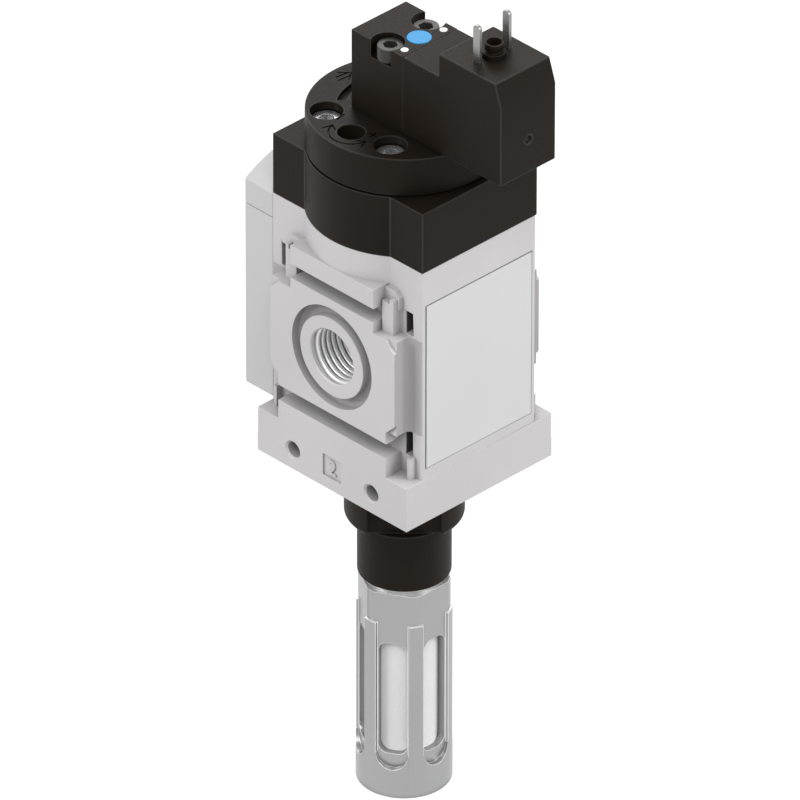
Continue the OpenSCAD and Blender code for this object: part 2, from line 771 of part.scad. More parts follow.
module contact_blades() {
    color([0.75, 0.76, 0.78]) on_axis() for (x = [-1, 1]) translate([x * blade_spacing / 2, -blade_y, 0])
        intersection() {
            translate([-blade_t / 2, -blade_w / 2, coil_top - blade_deep]) cube([blade_t, blade_w, blade_deep + blade_h]);
            translate([-blade_t, 0, coil_top + blade_h - blade_w / 2 - 0.1]) rotate([0, 90, 0]) union() {
                cylinder(r = blade_w / 2 + 0.1, h = 2 * blade_t);
                translate([0, -blade_w, 0]) cube([blade_h + blade_deep, 2 * blade_w, 2 * blade_t]);
            }
        }
}

module plug_post() {
    color([0.2, 0.2, 0.2]) on_axis() translate([0, -post_y, 0]) difference() {
        union() {
            rod(post_r, coil_top - post_deep, coil_top + 1.1);
            rod(post_top_r - 0.25, coil_top, post_top - 0.5);
            rod(post_top_r, post_top - 1.5, post_top);
        }
        rod(plug_r, coil_top - post_deep + 0.8, post_top + 1);
    }
}

module exhaust_adapter() {
    color([0.1, 0.1, 0.1]) on_axis() difference() {
        union() {
            rod(exhaust_r - seat_gap, flange_z - 1, flange_z + spigot_h);
            rod(sleeve_r, sleeve_z, nut_z + 1);
            rod(nut_r, nut_z + corner_r(), flange_z);
            rod(nut_r - corner_r(), nut_z, flange_z - 1);
            translate([0, 0, nut_z + corner_r()]) rotate_extrude()
                translate([nut_r - corner_r(), 0]) circle(corner_r());
        }
        // two wrench notches, above the sleeve
        rotate([0, 0, 45.6]) for (s = [-1, 1])
            translate([s * (notch_x + 5) - 5, -notch_half_w, nut_z]) cube([10, 2 * notch_half_w, nut_h - 2]);
        rod(spigot_bore_r, nut_z - 5, flange_z + spigot_h + 1);
        rod(silencer_thread_r, sleeve_z - 1, sleeve_z + silencer_thread_h + 1);
        tube(adapter_seal_r + seat_gap, exhaust_r, flange_z - 1.2, flange_z + 1);
    }
}

function corner_r() = 1.5;

module adapter_seal() {
    color([0.08, 0.08, 0.08]) on_axis() tube(adapter_seal_r, exhaust_r + seat_gap, flange_z - 1.2, flange_z);
}

module hexagon(inner) {
    circle(r = inner / cos(30), $fn = 6);
}

module cage_section() {
    intersection() {
        circle(cage_r);
        union() {
            hexagon(silencer_af / 2);
            for (a = [0:60:120]) rotate(a) square([2 * cage_r, rib_w], center = true);
        }
    }
}

// a window with rounded corners
module window_outline() {
    window_h = window_top_z - window_low_z;
    translate([-window_w / 2, window_low_z + window_corner_r])
        square([window_w, window_h - 2 * window_corner_r]);
    translate([-window_w / 2 + window_corner_r, window_low_z])
        square([window_w - 2 * window_corner_r, window_h]);
    for (y = [-1, 1], z = [window_low_z + window_corner_r, window_top_z - window_corner_r])
        translate([y * (window_w / 2 - window_corner_r), z]) circle(window_corner_r);
}

module silencer_cage() {
    color([0.78, 0.79, 0.8]) on_axis() difference() {
        union() {
            rod(silencer_thread_r - seat_gap, sleeve_z - 1, sleeve_z + silencer_thread_h);
            rod(neck_r, hex_top_z - 1, sleeve_z);
            translate([0, 0, rib_top_z - 1]) linear_extrude(hex_top_z - rib_top_z + 1) intersection() {
                hexagon(silencer_af / 2);
                rotate(30) hexagon(hex_corner);
            }
            translate([0, 0, flat_end_z]) linear_extrude(rib_top_z - flat_end_z) cage_section();
            difference() {
                rod(cage_r, cage_z, flat_end_z);
                for (a = [30:60:330]) rotate([0, 0, a]) translate([silencer_af / 2, 0, flat_end_z])
                    rotate([0, 90, 0]) cylinder(r = 3.3, h = 4);
            }
        }
        rod(4.8, sleeve_z - 10, sleeve_z + silencer_thread_h + 1);
        rod(element_r + seat_gap, cage_z - 1, element_top_z);
        for (a = [30:60:330]) rotate([0, 0, a]) along_x(4, 8) window_outline();
    }
}

module silencer_element() {
    color([0.95, 0.95, 0.94]) on_axis() difference() {
        rod(element_r, element_end_z, element_top_z);
        rod(element_r - 2.2, element_end_z + 2.5, element_top_z + 1);
    }
}

housing();
front_panel();
rear_cover();
rear_top_cover();
stem_guide();
main_piston();
piston_seal();
valve_stem();
supply_poppet();
exhaust_poppet();
return_spring();
piston_cap();
cap_gasket();
pilot_base();
base_seal();
cap_screws();
adjusting_screw();
throttle_needle();
pilot_body();
pilot_gasket();
pilot_screws();
marker_plugs();
override_button();
override_seal();
override_spring();
coil_housing();
coil_bobbin();
coil_winding();
fixed_core();
armature();
armature_seal();
armature_spring();
contact_blades();
plug_post();
exhaust_adapter();
adapter_seal();
silencer_cage();
silencer_element();
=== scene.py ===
import json
import math

import bpy
from mathutils import Matrix, Vector


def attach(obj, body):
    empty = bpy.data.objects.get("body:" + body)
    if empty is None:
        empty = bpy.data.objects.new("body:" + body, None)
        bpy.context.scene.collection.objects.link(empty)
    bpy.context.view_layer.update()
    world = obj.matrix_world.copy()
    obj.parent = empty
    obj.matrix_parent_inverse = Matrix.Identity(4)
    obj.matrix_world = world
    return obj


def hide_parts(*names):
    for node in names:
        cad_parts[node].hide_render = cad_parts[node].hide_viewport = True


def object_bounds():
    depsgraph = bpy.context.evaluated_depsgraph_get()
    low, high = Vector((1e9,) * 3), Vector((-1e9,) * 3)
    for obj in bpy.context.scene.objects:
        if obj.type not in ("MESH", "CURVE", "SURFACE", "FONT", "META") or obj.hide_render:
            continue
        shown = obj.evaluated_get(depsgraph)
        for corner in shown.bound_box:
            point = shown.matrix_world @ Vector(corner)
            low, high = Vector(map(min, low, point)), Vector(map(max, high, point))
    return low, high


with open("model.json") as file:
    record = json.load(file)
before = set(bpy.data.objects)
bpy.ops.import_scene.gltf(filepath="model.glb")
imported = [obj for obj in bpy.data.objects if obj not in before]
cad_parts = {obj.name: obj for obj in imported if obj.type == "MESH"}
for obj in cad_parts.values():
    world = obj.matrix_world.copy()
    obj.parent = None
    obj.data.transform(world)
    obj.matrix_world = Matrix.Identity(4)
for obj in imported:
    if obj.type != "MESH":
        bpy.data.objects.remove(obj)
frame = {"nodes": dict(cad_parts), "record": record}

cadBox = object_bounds()
mm = 0.001
portX = 20.0  # from the mouth of port 2 to the valve's vertical axis
flangeTopZ = -21.0
fits = 0.03  # how near a point has to lie to a named place, in millimetres
weldGap = 2e-6  # points of a mesh closer than this, in metres, are one
cutGap = 1e-7  # points closer than this to a cutting plane, in metres, lie on it
smoothAngle = 36.0  # sharper edges stay sharp
flatAngle = 0.4  # faces that meet at less are one flat face
nodes = frame["nodes"]
record = frame["record"]
bodyOf = {name: body for body, names in record["behaviour"]["bodies"].items() for name in names}
mounts = {mount["name"]: mount for mount in record["mounts"]}
joints = {joint["name"]: joint for joint in record["behaviour"]["joints"]}


def place(x, y, z):
    # a point given in millimetres from the valve's vertical axis and the port axis
    return Vector(((x + portX) * mm, y * mm, z * mm))


def outwards(spot):
    # how far a point of a mesh lies to the side of the valve's vertical axis, in millimetres
    return abs(spot.x / mm - portX)


def measured(spot):
    # a place in the record, in millimetres from the valve's vertical axis and the port axis
    return round(spot[0] / mm - portX, 4), round(spot[1] / mm, 4), round(spot[2] / mm, 4)


_, holeY, holeZ = measured(mounts["side_hole_2_rear"]["pos_m"])
_, plugY, _ = measured(mounts["plug_screw"]["pos_m"])
adjusterX, adjusterY, _ = measured(joints["adjusting_screw_turn"]["pos_m"])

print("stage: node groups")


def newGroup(name, inputs, outputs):
    group = bpy.data.node_groups.new(name, "ShaderNodeTree")
    for label, value in inputs.items():
        socket = group.interface.new_socket(label, in_out="INPUT", socket_type="NodeSocketFloat")
        socket.default_value = value
    for label in outputs:
        group.interface.new_socket(label, in_out="OUTPUT", socket_type="NodeSocketFloat")
    inlet = group.nodes.new("NodeGroupInput")
    outlet = group.nodes.new("NodeGroupOutput")
    coords = group.nodes.new("ShaderNodeTexCoord")
    return group, inlet, outlet, coords


def addNoise(group, vector, scale, detail, rough=0.5):
    noise = group.nodes.new("ShaderNodeTexNoise")
    noise.inputs["Detail"].default_value = detail
    noise.inputs["Roughness"].default_value = rough
    group.links.new(vector, noise.inputs["Vector"])
    group.links.new(scale, noise.inputs["Scale"])
    return noise.outputs["Fac"]


def makeSurfaceGrain():
    # soft colour patches and the fine grain of a mould or casting
    group, inlet, outlet, coords = newGroup(
        "surfaceGrain", {"Patch Scale": 45.0, "Grain Scale": 2000.0}, ("Patches", "Grain"))
    where = coords.outputs["Object"]
    patches = addNoise(group, where, inlet.outputs["Patch Scale"], detail=3.0)
    grain = addNoise(group, where, inlet.outputs["Grain Scale"], detail=6.0, rough=0.6)
    group.links.new(patches, outlet.inputs["Patches"])
    group.links.new(grain, outlet.inputs["Grain"])
    return group


turnedNoise = {"across": 40.0, "ringScale": 1.0, "ringDetail": 5.0, "glossScale": 0.12, "glossDetail": 2.0}


def makeTurnedMarks():
    # fine tool rings across the Z axis and a slow change of gloss along it
    group, inlet, outlet, coords = newGroup("turnedMarks", {"Rings Per Metre": 900.0}, ("Rings", "Gloss"))
    squeeze = group.nodes.new("ShaderNodeCombineXYZ")
    squeeze.inputs["X"].default_value = turnedNoise["across"]
    squeeze.inputs["Y"].default_value = turnedNoise["across"]
    group.links.new(inlet.outputs["Rings Per Metre"], squeeze.inputs["Z"])
    stretch = group.nodes.new("ShaderNodeVectorMath")
    stretch.operation = "MULTIPLY"
    group.links.new(coords.outputs["Object"], stretch.inputs[0])
    group.links.new(squeeze.outputs["Vector"], stretch.inputs[1])
    for label, key in (("Rings", "ring"), ("Gloss", "gloss")):
        noise = group.nodes.new("ShaderNodeTexNoise")
        noise.inputs["Scale"].default_value = turnedNoise[key + "Scale"]
        noise.inputs["Detail"].default_value = turnedNoise[key + "Detail"]
        group.links.new(stretch.outputs["Vector"], noise.inputs["Vector"])
        group.links.new(noise.outputs["Fac"], outlet.inputs[label])
    return group


surfaceGrain = makeSurfaceGrain()
turnedMarks = makeTurnedMarks()

print("stage: materials")

# what part of a noise mask, or of the open sky above a spot, the looks make use of; the open sky sets the
# painted shade in hollows
maskReach = {"colour": (0.35, 0.65), "gloss": (0.3, 0.7), "open": (0.2, 0.95), "openSamples": 6}


def mixColours(tree, mask, low, high):
    ramp = tree.nodes.new("ShaderNodeValToRGB")
    for element, position, colour in zip(ramp.color_ramp.elements, maskReach["colour"], (low, high)):
        element.position = position
        element.color = (*colour, 1)
    tree.links.new(mask, ramp.inputs["Fac"])
    return ramp.outputs["Color"]


def spread(tree, mask, middle, reach):
    ranger = tree.nodes.new("ShaderNodeMapRange")
    ranger.inputs["From Min"].default_value, ranger.inputs["From Max"].default_value = maskReach["gloss"]
    ranger.inputs["To Min"].default_value = middle - reach
    ranger.inputs["To Max"].default_value = middle + reach
    tree.links.new(mask, ranger.inputs["Value"])
    return ranger.outputs["Result"]


def paintHollowShade(tree, colour, keep, reachMm):
    # painted shade: grooves, joints and inner corners keep only part of the colour, the less the more closed
    # in they are
    paintedHollowShade = tree.nodes.new("ShaderNodeAmbientOcclusion")
    paintedHollowShade.samples = maskReach["openSamples"]
    paintedHollowShade.inputs["Distance"].default_value = reachMm * mm
    ranger = tree.nodes.new("ShaderNodeMapRange")
    ranger.inputs["From Min"].default_value, ranger.inputs["From Max"].default_value = maskReach["open"]
    ranger.inputs["To Min"].default_value = keep
    tree.links.new(paintedHollowShade.outputs["AO"], ranger.inputs["Value"])
    mixer = tree.nodes.new("ShaderNodeMix")
    mixer.data_type = "RGBA"
    mixer.blend_type = "MULTIPLY"
    mixer.inputs["Factor"].default_value = 1.0
    tree.links.new(colour, mixer.inputs["A"])
    tree.links.new(ranger.outputs["Result"], mixer.inputs["B"])
    return mixer.outputs["Result"]


def makeMaterial(name, look):
    # every finish is a base colour that wanders a little, an uneven gloss and a fine relief
    mat = bpy.data.materials.new(name)
    mat.use_nodes = True
    tree = mat.node_tree
    shader = tree.nodes["Principled BSDF"]
    surface = tree.nodes.new("ShaderNodeGroup")
    if look.get("turned"):
        surface.node_tree = turnedMarks
        surface.inputs["Rings Per Metre"].default_value = look["turned"]
        colourMask, glossMask, relief = (surface.outputs[k] for k in ("Rings", "Gloss", "Rings"))
    else:
        surface.node_tree = surfaceGrain
        surface.inputs["Patch Scale"].default_value = look.get("patch", 45.0)
        surface.inputs["Grain Scale"].default_value = look.get("grain", 2000.0)
        colourMask, glossMask, relief = (surface.outputs[k] for k in ("Patches", "Grain", "Grain"))
    low = look["colour"]
    high = [c * look.get("wander", 1.06) for c in low]
    colour = mixColours(tree, colourMask, low, high)
    # painted shade in the hollows, for the finishes that have it
    if "paintedHollowShade" in look:
        colour = paintHollowShade(tree, colour, look["paintedHollowShade"], look["paintedShadeReachMm"])
    tree.links.new(colour, shader.inputs["Base Color"])
    roughness = spread(tree, glossMask, look["rough"], look.get("uneven", 0.05))
    tree.links.new(roughness, shader.inputs["Roughness"])
    bumper = tree.nodes.new("ShaderNodeBump")
    bumper.inputs["Strength"].default_value = look.get("relief", 0.2)
    bumper.inputs["Distance"].default_value = look.get("reliefMm", 0.08) * mm
    tree.links.new(relief, bumper.inputs["Height"])
    tree.links.new(bumper.outputs["Normal"], shader.inputs["Normal"])
    shader.inputs["Metallic"].default_value = look.get("metal", 0.0)
    shader.inputs["Specular IOR Level"].default_value = look.get("specular", 0.5)
    return mat


# where a finish has them, its last two entries set the painted shade in hollows: the share of colour kept and
# its reach in millimetres
finishes = {
    "castMetal": {"colour": (0.64, 0.627, 0.631), "rough": 0.5, "grain": 2600.0, "patch": 35.0,
                  "relief": 0.25, "specular": 0.25, "paintedHollowShade": 0.5, "paintedShadeReachMm": 8.0},
    # a darker copy of castMetal, painted shade on the step beside each port plate
    "castMetalPaintedShade": {"colour": (0.45, 0.44, 0.443), "rough": 0.55, "grain": 2600.0, "patch": 35.0,
                   "relief": 0.25, "specular": 0.25, "paintedHollowShade": 0.5, "paintedShadeReachMm": 8.0},
    "machinedMetal": {"colour": (0.86, 0.86, 0.86), "rough": 0.34, "metal": 0.5, "relief": 0.05,
                      "paintedHollowShade": 0.1, "paintedShadeReachMm": 0.6},
    "panelPlastic": {"colour": (0.7, 0.7, 0.7), "rough": 0.42, "relief": 0.12, "wander": 1.03,
                     "paintedHollowShade": 0.4, "paintedShadeReachMm": 0.8},
    "coverPlastic": {"colour": (0.6, 0.6, 0.6), "rough": 0.45, "relief": 0.2, "wander": 1.04, "paintedHollowShade": 0.3,
                     "paintedShadeReachMm": 1.5},
    "blackPlastic": {"colour": (0.0098, 0.0067, 0.0044), "rough": 0.5, "relief": 0.35, "wander": 1.25,
                     "specular": 0.1, "paintedHollowShade": 0.45, "paintedShadeReachMm": 2.5},
    # a lighter copy of blackPlastic, a painted highlight on rounded edges
    "blackPlasticHighlight": {"colour": (0.021, 0.0172, 0.0142), "rough": 0.45, "relief": 0.2, "wander": 1.2,
                  "specular": 0.2, "paintedHollowShade": 0.2, "paintedShadeReachMm": 1.5},
    "sealRubber": {"colour": (0.01, 0.01, 0.01), "rough": 0.62, "relief": 0.3, "wander": 1.4,
                   "specular": 0.3},
    # a dark plastic for the piston; the same material is painted shade inside the housing's corner slots
    "darkPlasticAndSlotShade": {"colour": (0.035, 0.035, 0.038), "rough": 0.5, "relief": 0.3, "wander": 1.3},
    "whitePlastic": {"colour": (0.8, 0.8, 0.8), "rough": 0.4, "relief": 0.1, "wander": 1.05},
    "bluePlastic": {"colour": (0.006, 0.27, 0.6), "rough": 0.42, "relief": 0.1, "wander": 1.06,
                    "specular": 0.3},
    "bobbinPlastic": {"colour": (0.58, 0.55, 0.47), "rough": 0.45, "relief": 0.2, "wander": 1.1},
    "porousWhite": {"colour": (0.9, 0.9, 0.895), "rough": 0.85, "grain": 1500.0, "patch": 60.0,
                    "relief": 0.9, "reliefMm": 0.12, "wander": 1.05, "specular": 0.2},
    "blackOxide": {"colour": (0.03, 0.029, 0.028), "rough": 0.42, "metal": 0.4, "relief": 0.15,
                   "wander": 1.3},
    "polishedSteel": {"colour": (0.8, 0.8, 0.81), "rough": 0.25, "uneven": 0.03, "metal": 0.9,
                      "relief": 0.03, "paintedHollowShade": 0.15, "paintedShadeReachMm": 1.6},
    "brightSteel": {"colour": (0.55, 0.55, 0.56), "rough": 0.26, "metal": 1.0, "turned": 900.0,
                    "wander": 1.2, "relief": 0.1},
    "springSteel": {"colour": (0.42, 0.42, 0.44), "rough": 0.3, "metal": 1.0, "turned": 500.0,
                    "wander": 1.3},
    "platedMetal": {"colour": (0.29, 0.29, 0.285), "rough": 0.36, "metal": 1.0, "grain": 900.0,
                    "wander": 1.15},
    "satinAluminium": {"colour": (0.37, 0.37, 0.375), "rough": 0.34, "uneven": 0.02, "metal": 0.8,
                       "grain": 3200.0, "relief": 0.03, "wander": 1.04, "paintedHollowShade": 0.6, "paintedShadeReachMm": 1.2},
    # a brighter copy of satinAluminium, a painted highlight on rounded edges and on the cage's upward ledges
    "aluminiumHighlight": {"colour": (0.92, 0.92, 0.92), "rough": 0.3, "uneven": 0.02, "metal": 0.7, "relief": 0.0,
                   "paintedHollowShade": 0.35, "paintedShadeReachMm": 0.8},
    "turnedBrass": {"colour": (0.55, 0.38, 0.14), "rough": 0.28, "metal": 1.0, "turned": 900.0,
                    "wander": 1.25},
    "copperWire": {"colour": (0.45, 0.17, 0.07), "rough": 0.35, "metal": 1.0, "turned": 300.0,
                   "wander": 1.35},
}
materials = {name: makeMaterial(name, look) for name, look in finishes.items()}

# the rounded edges of these finishes get a lighter copy of the finish, a painted highlight
highlightFinishes = {"blackPlastic": "blackPlasticHighlight", "satinAluminium": "aluminiumHighlight"}

wearsFinish = {
    "castMetal": ("housing",),
    "panelPlastic": ("front_panel",),
    "coverPlastic": ("rear_cover", "rear_top_cover"),
    "blackPlastic": ("piston_cap", "pilot_base", "pilot_body", "coil_housing", "plug_post",
                     "exhaust_adapter"),
    "sealRubber": ("piston_seal", "supply_poppet", "exhaust_poppet", "cap_gasket", "base_seal",
                   "pilot_gasket", "override_seal", "armature_seal", "adapter_seal"),
    "darkPlasticAndSlotShade": ("main_piston",),
    "whitePlastic": ("marker_plugs",),
    "bluePlastic": ("override_button",),
    "bobbinPlastic": ("coil_bobbin",),
    "porousWhite": ("silencer_element",),
    "blackOxide": ("pilot_screws",),
    "polishedSteel": ("cap_screws",),
    "brightSteel": ("valve_stem", "fixed_core", "armature"),
    "springSteel": ("return_spring", "override_spring", "armature_spring"),
    "platedMetal": ("contact_blades",),
    "satinAluminium": ("silencer_cage",),
    "turnedBrass": ("stem_guide", "adjusting_screw", "throttle_needle"),
    "copperWire": ("coil_winding",),
}
for finish, nodeNames in wearsFinish.items():
    for nodeName in nodeNames:
        nodes[nodeName].data.materials.clear()
        nodes[nodeName].data.materials.append(materials[finish])


def deselectAll():
    if bpy.context.object and bpy.context.object.mode != "OBJECT":
        bpy.ops.object.mode_set(mode="OBJECT")
    bpy.ops.object.select_all(action="DESELECT")


def takeUp(obj):
    deselectAll()
    obj.select_set(True)
    bpy.context.view_layer.objects.active = obj


def editAll(kind="VERT"):
    bpy.ops.object.mode_set(mode="EDIT")
    bpy.ops.mesh.select_mode(type=kind)
    bpy.ops.mesh.select_all(action="SELECT")


def leaveEdit():
    bpy.ops.object.mode_set(mode="OBJECT")


def pickEdges(obj, test):
    # only the edges that pass the test stay selected, and edit mode is left open
    editAll("EDGE")
    bpy.ops.mesh.select_all(action="DESELECT")
    leaveEdit()
    spots = obj.data.vertices
    for edge in obj.data.edges:
        a, b = edge.vertices
        if test(spots[a].co, spots[b].co):
            edge.select = True
            spots[a].select = True
            spots[b].select = True
    bpy.ops.object.mode_set(mode="EDIT")


def pickFaces(obj, test):
    editAll("FACE")
    bpy.ops.mesh.select_all(action="DESELECT")
    leaveEdit()
    for face in obj.data.polygons:
        face.select = test(face.center, face.normal)
    bpy.ops.object.mode_set(mode="EDIT")


def closeUp():
    # doubles merged first, then all faces turned outwards
    editAll()
    bpy.ops.mesh.remove_doubles(threshold=weldGap)
    bpy.ops.mesh.normals_make_consistent(inside=False)
    leaveEdit()


def applyModifier(obj, name):
    takeUp(obj)
    bpy.ops.object.modifier_apply(modifier=name)


def finishPiece(obj, name, finish, body, angle=smoothAngle):
    # the place goes into the mesh, and the piece gets its name, finish, body and slot
    takeUp(obj)
    bpy.ops.object.transform_apply(location=True, rotation=True, scale=True)
    obj.name = name
    obj.data.name = name
    obj.data.materials.clear()
    obj.data.materials.append(materials[finish])
    bpy.ops.object.shade_smooth_by_angle(angle=math.radians(angle))
    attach(obj, body)
    print("made", name, len(obj.data.polygons))
    return obj


edgeStyle = {"segments": 2, "sharpness": 32.0}


def addRounding(obj, width, highlightSlot):
    # the given slot is the material of the rounded edges, which carries a painted highlight, or -1 for the
    # piece's own
    rounding = obj.modifiers.new("rounding", "BEVEL")
    rounding.width = width * mm
    rounding.segments = edgeStyle["segments"]
    rounding.limit_method = "ANGLE"
    rounding.angle_limit = math.radians(edgeStyle["sharpness"])
    rounding.miter_outer = "MITER_ARC"
    rounding.use_clamp_overlap = False
    rounding.material = highlightSlot
    applyModifier(obj, "rounding")


def turnedCopy(obj, name):
    # the same piece on the other port face, turned half round the vertical axis
    takeUp(obj)
    twin = obj.copy()
    twin.data = obj.data.copy()
    bpy.context.collection.objects.link(twin)
    takeUp(twin)
    bpy.ops.transform.rotate(value=math.pi, orient_axis="Z", center_override=place(0, 0, 0))
    bpy.ops.object.transform_apply(location=True, rotation=True, scale=True)
    twin.name = name
    twin.data.name = name
    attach(twin, "valve")
    return twin


print("stage: engraving cutters")


def stroke(start, end, width, low, high):
    # a straight bar between two points of the top view, in millimetres
    start, end = Vector(start), Vector(end)
    middle = (start + end) / 2
    run = end - start
    deselectAll()
    bpy.ops.mesh.primitive_cube_add(size=1, location=place(middle.x, middle.y, (low + high) / 2))
    bar = bpy.context.object
    bar.rotation_euler = (0, 0, math.atan2(run.y, run.x))
    bar.scale = ((run.length + width) * mm, width * mm, (high - low) * mm)
    bpy.ops.object.transform_apply(location=True, rotation=True, scale=True)
    return bar


def arcStroke(centre, radius, fromAngle, toAngle, width, low, high, steps=40):
    # an upright rectangle, spun about the centre
    deselectAll()
    bpy.ops.mesh.primitive_plane_add(size=1, location=(0, 0, 0))
    arc = bpy.context.object
    arc.scale = (width * mm, (high - low) * mm, 1)
    arc.rotation_euler = (math.radians(90), 0, 0)
    arc.location = (radius * mm, 0, 0)
    bpy.ops.object.transform_apply(location=True, rotation=True, scale=True)
    editAll("FACE")
    bpy.ops.mesh.spin(steps=steps, angle=math.radians(fromAngle - toAngle), center=(0, 0, 0), axis=(0, 0, 1))
    leaveEdit()
    closeUp()
    arc.rotation_euler = (0, 0, math.radians(fromAngle))
    arc.location = place(centre[0], centre[1], (low + high) / 2)
    bpy.ops.object.transform_apply(location=True, rotation=True, scale=True)
    return arc


def onArc(centre, radius, degrees):
    angle = math.radians(degrees)
    return centre[0] + radius * math.cos(angle), centre[1] + radius * math.sin(angle)


discMarks = {
    "topZ": 49.2, "depth": 0.32, "above": 0.5, "lineW": 0.36,
    "arcCentre": (adjusterX, adjusterY), "arcR": 4.5, "arcFrom": 104.0, "arcTo": 262.0,
    "tipBeyond": 2, "barbReach": 1.25, "barbAngle": 19.0,
    "minus": ((-12.75, 5.84), (-10.53, 6.25)),
    "plus": (-11.75, -3.15), "plusHalf": 0.75,
    "flowArrow": (((-2.0, 17.1), (0.9, 16.8)), ((-2.5, 16.0), (0.6, 15.7)),
                  ((-0.9, 14.7), (1.3, 16.15)), ((-0.5, 18.1), (1.3, 16.15))),
}


def makeDiscCutters(marks):
    # a curved arrow with two tips about the adjusting hole, its plus and minus, and a flow arrow
    low, high = marks["topZ"] - marks["depth"], marks["topZ"] + marks["above"]
    centre, radius = marks["arcCentre"], marks["arcR"]
    lines = [marks["minus"], *marks["flowArrow"]]
    for tip, way in ((marks["arcFrom"] - marks["tipBeyond"], 1), (marks["arcTo"] + marks["tipBeyond"], -1)):
        for side in (-1, 1):
            barbEnd = onArc(centre, radius + side * marks["barbReach"], tip + way * marks["barbAngle"])
            lines.append((onArc(centre, radius, tip), barbEnd))
    plusX, plusY = marks["plus"]
    half = marks["plusHalf"]
    lines.append(((plusX - half, plusY), (plusX + half, plusY)))
    lines.append(((plusX, plusY - half), (plusX, plusY + half)))
    cutters = [arcStroke(centre, radius, marks["arcFrom"], marks["arcTo"], marks["lineW"], low, high)]
    cutters += [stroke(start, end, marks["lineW"], low, high) for start, end in lines]
    return cutters


def engrave(obj, cutters):
    # real grooves, cut one by one so that crossing strokes do no harm
    for number, cutter in enumerate(cutters):
        name = f"groove{number}"
        cut = obj.modifiers.new(name, "BOOLEAN")
        cut.operation = "DIFFERENCE"
        cut.solver = "EXACT"
        cut.object = cutter
        applyModifier(obj, name)
        bpy.data.objects.remove(cutter, do_unlink=True)


print("stage: rounded pieces")

roundings = {
    "front_panel": 0.1, "rear_cover": 0.3, "rear_top_cover": 0.3,
    "piston_cap": 0.22, "pilot_base": 0.22, "pilot_body": 0.15, "coil_housing": 0.25,
    "exhaust_adapter": 0.22, "silencer_cage": 0.07, "plug_post": 0.1, "contact_blades": 0.08,
    "cap_screws": 0.08, "pilot_screws": 0.2, "override_button": 0.15, "marker_plugs": 0.06,
    "silencer_element": 0.3, "adjusting_screw": 0.08,
}
discScrewX, discScrewRearY, discScrewFrontY = 11.9, 9.7, -8.1
pilotScrewY, buttonY = -0.87, -3.95
markerX, markerY = 5.3, -5.3
coilDimpleZ = 56.8

# planes through the middle of holes, so that each hole's rim is rounded evenly
# the ones for the flange holes end at the flange's top and leave the port plate whole
splitPlanes = {
    "housing": (("X", 0), ("Y", 0), ("Z", 0),
                ("Y", holeY, flangeTopZ), ("Y", -holeY, flangeTopZ), ("Z", holeZ)),
    "piston_cap": (("X", 0), ("Y", 0), ("Y", adjusterY), ("X", adjusterX)),
    "rear_top_cover": (("X", 0),),
    "pilot_base": (("X", -discScrewX), ("X", discScrewX), ("Y", discScrewRearY), ("Y", discScrewFrontY),
                   ("X", adjusterX), ("Y", adjusterY)),
    "pilot_body": (("X", 0), ("Y", buttonY), ("X", markerX), ("X", -markerX), ("Y", markerY),
                   ("Y", pilotScrewY)),
    "coil_housing": (("X", 0), ("Y", plugY), ("Z", coilDimpleZ)),
    "plug_post": (("X", 0), ("Y", plugY)),
    "exhaust_adapter": (("X", 0), ("Y", 0)),
    "silencer_cage": (("X", 0), ("Y", 0), ("window30", 0), ("window150", 0)),
    "silencer_element": (("X", 0), ("Y", 0)),
}
windowTilt = math.radians(30)
planeNormals = {
    "X": (1, 0, 0), "Y": (0, 1, 0), "Z": (0, 0, 1),
    "window30": (-math.sin(windowTilt), math.cos(windowTilt), 0),
    "window150": (math.sin(windowTilt), math.cos(windowTilt), 0),
}
frontEdge = {"x": 15.7, "y": -20.8, "radius": 0.6, "segments": 3}
cornerSlot = {"mouthX": 15.4, "innerY": 16.4, "outerY": 18.4}
grooveFloor = {"depth": 2.4, "innerR": 8.85, "outerR": 11.2, "radius": 0.8, "segments": 5}
portBore = {"wallR": mounts["port_2"]["dims"]["r_mm"], "innerX": 9.0}
sinkRim = {"holeR": mounts["side_hole_2_rear"]["dims"]["r_mm"], "wide": 0.42}
flankStep = {"innerX": 15.7, "outerX": 21.5, "plateY": 17.4, "edgeY": 20.85, "frontY": 23.0, "reach": 10.93,
             "radius": 1.3, "segments": 6, "ontoEdge": 0.1}
longEdge = {"shortest": 5.0, "width": 0.2, "segments": 2, "sharpness": 50.0,
            "sideX": 15.5, "frontY": 20.5, "belowZ": flangeTopZ, "undersideR": 18.0}
# upward faces of the cage above this height get the painted highlight
ledgeHighlight = {"slope": 0.45, "aboveZ": -67.0}


def roundFrontEdges(obj, edge):
    # the two upright front edges of the body are rounder than the rest
    def atCorner(spot):
        return abs(outwards(spot) - edge["x"]) < fits and abs(spot.y / mm - edge["y"]) < fits

    pickEdges(obj, lambda a, b: atCorner(a) and atCorner(b) and abs(a.z - b.z) > mm)
    bpy.ops.mesh.bevel(offset=edge["radius"] * mm, segments=edge["segments"], affect="EDGES")
    leaveEdit()


def makeFlankCutters(step):
    # beside each port face the flank steps back, with a small fillet in the corner
    def atCorner(spot):
        return abs(outwards(spot) - step["innerX"]) < fits and abs(abs(spot.y / mm) - step["plateY"]) < fits

    cutters = []
    size = (step["outerX"] - step["innerX"], step["frontY"] - step["plateY"], 2 * step["reach"])
    for sideX in (-1, 1):
        for sideY in (-1, 1):
            middle = place(sideX * (step["innerX"] + step["outerX"]) / 2,
                           sideY * (step["plateY"] + step["frontY"]) / 2, 0)
            deselectAll()
            bpy.ops.mesh.primitive_cube_add(size=1, location=middle)
            box = bpy.context.object
            box.scale = [length * mm for length in size]
            bpy.ops.object.transform_apply(location=True, rotation=True, scale=True)
            pickEdges(box, lambda a, b: atCorner(a) and atCorner(b))
            bpy.ops.mesh.bevel(offset=step["radius"] * mm, segments=step["segments"], affect="EDGES")
            leaveEdit()
            cutters.append(box)
    return cutters


